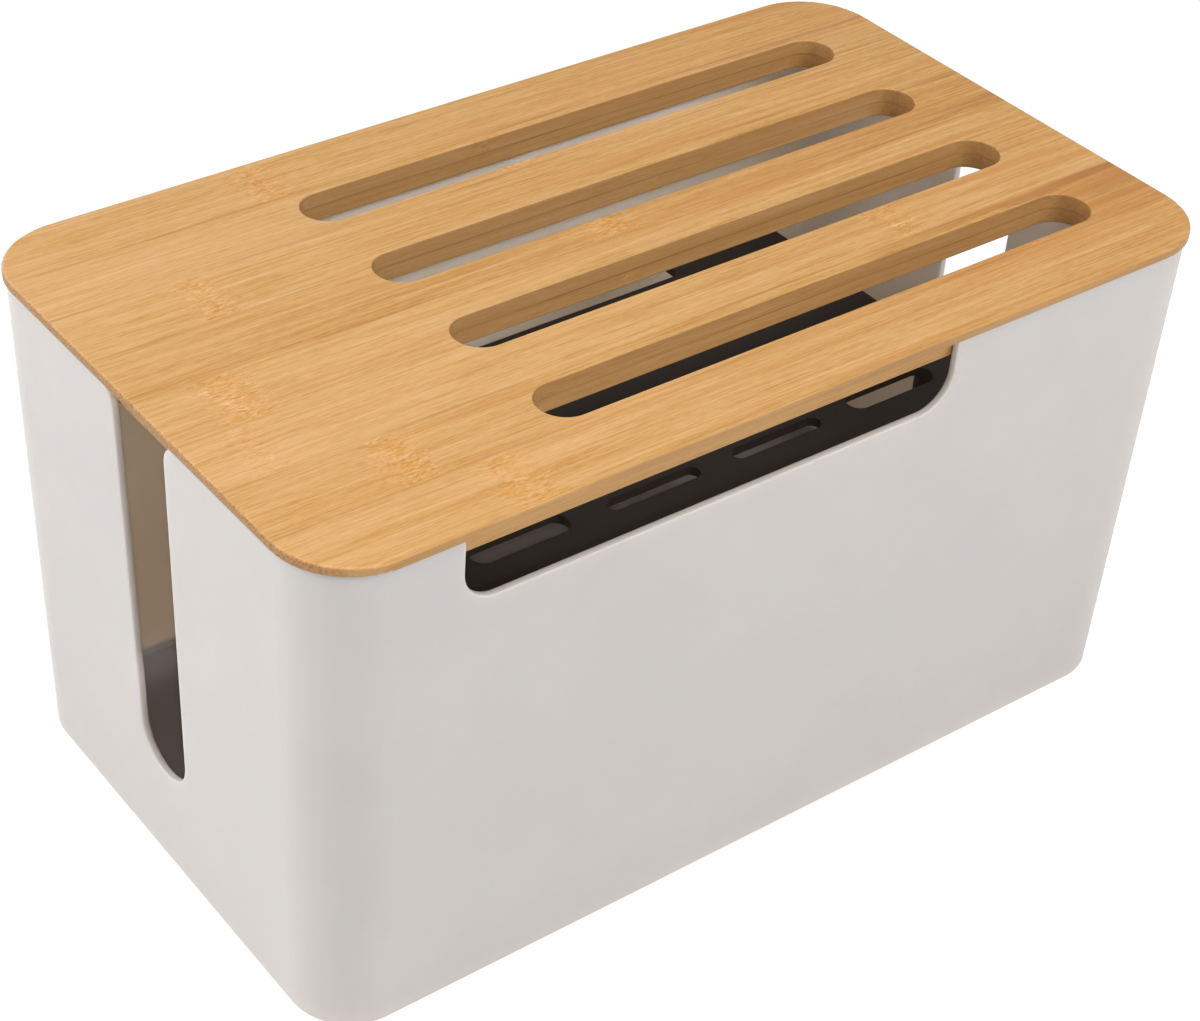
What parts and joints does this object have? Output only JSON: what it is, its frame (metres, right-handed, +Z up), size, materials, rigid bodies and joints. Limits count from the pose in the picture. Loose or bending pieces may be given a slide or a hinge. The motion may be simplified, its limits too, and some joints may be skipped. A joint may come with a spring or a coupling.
{
  "type": "router storage box",
  "caption": "Tapered plastic tub with cable slots and a cable notch, a slotted bamboo lid and a lift-out shelf on legs that keeps a router above a power strip.",
  "frame": {"origin": "centre of the footprint, on the surface that the foot pads stand on", "axes": "+Z up; +X along the length, to the right of someone facing the wall with the cable notch; +Y towards the opposite long wall"},
  "size_m": [0.32, 0.188, 0.172],
  "materials": {
    "shell_plastic": "fine matte, warm off-white, moulded",
    "bamboo": "laminated bamboo, grain along the length, clear satin lacquer",
    "shelf_plastic": "satin black, moulded",
    "pad_rubber": "matte grey rubber"
  },
  "bodies": {
    "tub": {"box_shell": "shell_plastic", "foot_pad_front_left": "pad_rubber", "foot_pad_front_right": "pad_rubber", "foot_pad_back_left": "pad_rubber", "foot_pad_back_right": "pad_rubber"},
    "shelf": {"inner_shelf": "shelf_plastic", "shelf_leg_front_left": "shelf_plastic", "shelf_leg_front_right": "shelf_plastic", "shelf_leg_back_left": "shelf_plastic", "shelf_leg_back_right": "shelf_plastic"},
    "lid": {"bamboo_lid": "bamboo"}
  },
  "joints": [
    {"name": "shelf_lift", "type": "slide", "parent": "tub", "child": "shelf", "axis": [0, 0, 1], "range_m": [0, 0.17]},
    {"name": "lid_lift", "type": "slide", "parent": "shelf", "child": "lid", "axis": [0, 0, 1], "range_m": [0, 0.1]}
  ]
}
